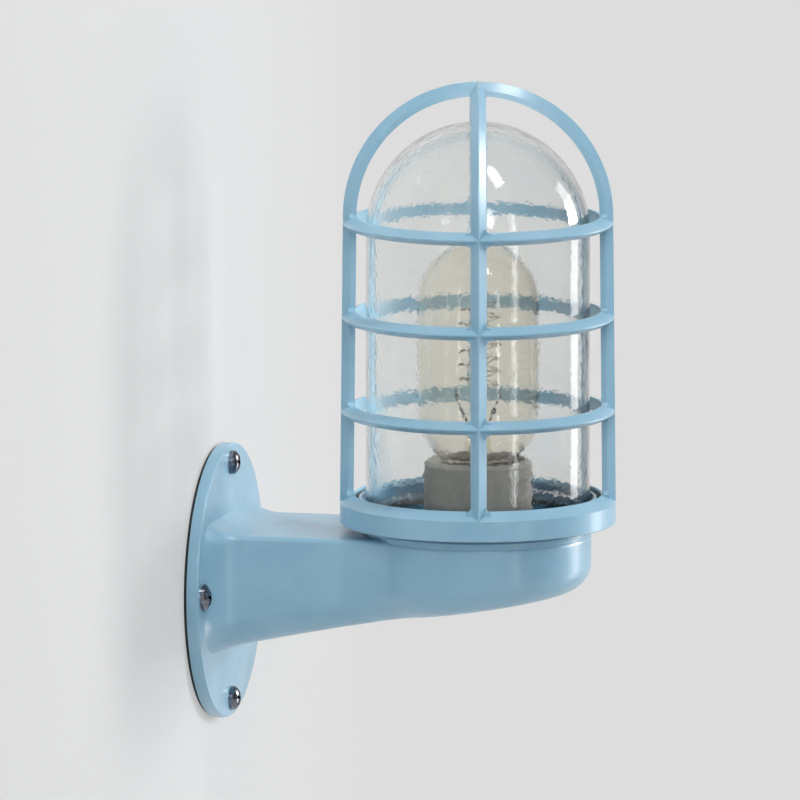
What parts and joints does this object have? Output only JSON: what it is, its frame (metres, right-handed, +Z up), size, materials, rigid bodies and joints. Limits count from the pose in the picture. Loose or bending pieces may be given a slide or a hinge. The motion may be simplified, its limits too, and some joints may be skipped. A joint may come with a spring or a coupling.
{
  "type": "cage wall light",
  "caption": "Wall light with a cast arm and cup, a ribbed screw-on guard, a domed glass jar and a screw-in tubular lamp in a porcelain holder.",
  "frame": {"origin": "middle of the wall flange, on the wall plane, at the centre of the circle of fixing screws", "axes": "+Y into the wall along the fixing screws, +Z up along the axis of guard and lamp, -Y out from the wall along the arm"},
  "size_m": [0.1014, 0.1717, 0.2389],
  "materials": {
    "casting": "satin sky blue powder coat on cast aluminium",
    "screw_chrome": "bright plated",
    "black_rubber": "matt moulded rubber",
    "jar_glass": "clear pressed glass with a faint grey-green tint",
    "lamp_glass": "clear blown glass with an amber tint",
    "porcelain": "unglazed porcelain with fine speckle",
    "brass": "plain brass sheet",
    "zinc_steel": "zinc plated",
    "nylon": "moulded nylon",
    "live_sleeve": "smooth sleeving",
    "neutral_sleeve": "smooth sleeving",
    "earth_sleeve": "smooth sleeving with a yellow stripe",
    "cap_metal": "nickel washed brass",
    "insulator": "black glass",
    "wire": "dark drawn wire"
  },
  "bodies": {
    "bracket": {"wall_bracket": "casting", "wall_gasket": "black_rubber", "mounting_screws": "screw_chrome", "glass_gasket": "black_rubber", "lampholder_body": "porcelain", "lampholder_shell": "brass", "centre_contact": "brass", "lampholder_terminals": "brass", "bridge_strap": "zinc_steel", "strap_screws": "zinc_steel", "lampholder_screws": "zinc_steel", "terminal_block": "nylon", "clamp_screws": "brass", "block_screw": "zinc_steel", "lead_grommet": "black_rubber", "live_lead": "live_sleeve", "neutral_lead": "neutral_sleeve", "earth_screw": "brass", "earth_tag": "zinc_steel", "earth_lead": "earth_sleeve"},
    "jar": {"glass_jar": "jar_glass"},
    "seal": {"guard_seal": "black_rubber"},
    "cage": {"guard": "casting"},
    "lamp": {"lamp_envelope": "lamp_glass", "lamp_cap": "cap_metal", "lamp_insulator": "insulator", "lamp_contact": "cap_metal", "lamp_stem": "lamp_glass", "lead_in_wires": "wire", "filament_hooks": "wire", "filament": "wire"}
  },
  "joints": [
    {"name": "jar_lift", "type": "slide", "parent": "bracket", "child": "jar", "axis": [0, 0, 1], "range_m": [0, 0.11]},
    {"name": "guard_lift", "type": "slide", "parent": "jar", "child": "seal", "axis": [0, 0, 1], "range_m": [0, 0.155]},
    {"name": "guard_turn", "type": "hinge", "parent": "seal", "child": "cage", "pos_m": [0, -0.099, 0], "axis": [0, 0, 1], "range_deg": [0, 765]},
    {"name": "lamp_lift", "type": "slide", "parent": "bracket", "child": "lamp", "axis": [0, 0, 1], "range_m": [0, 0.03]}
  ]
}
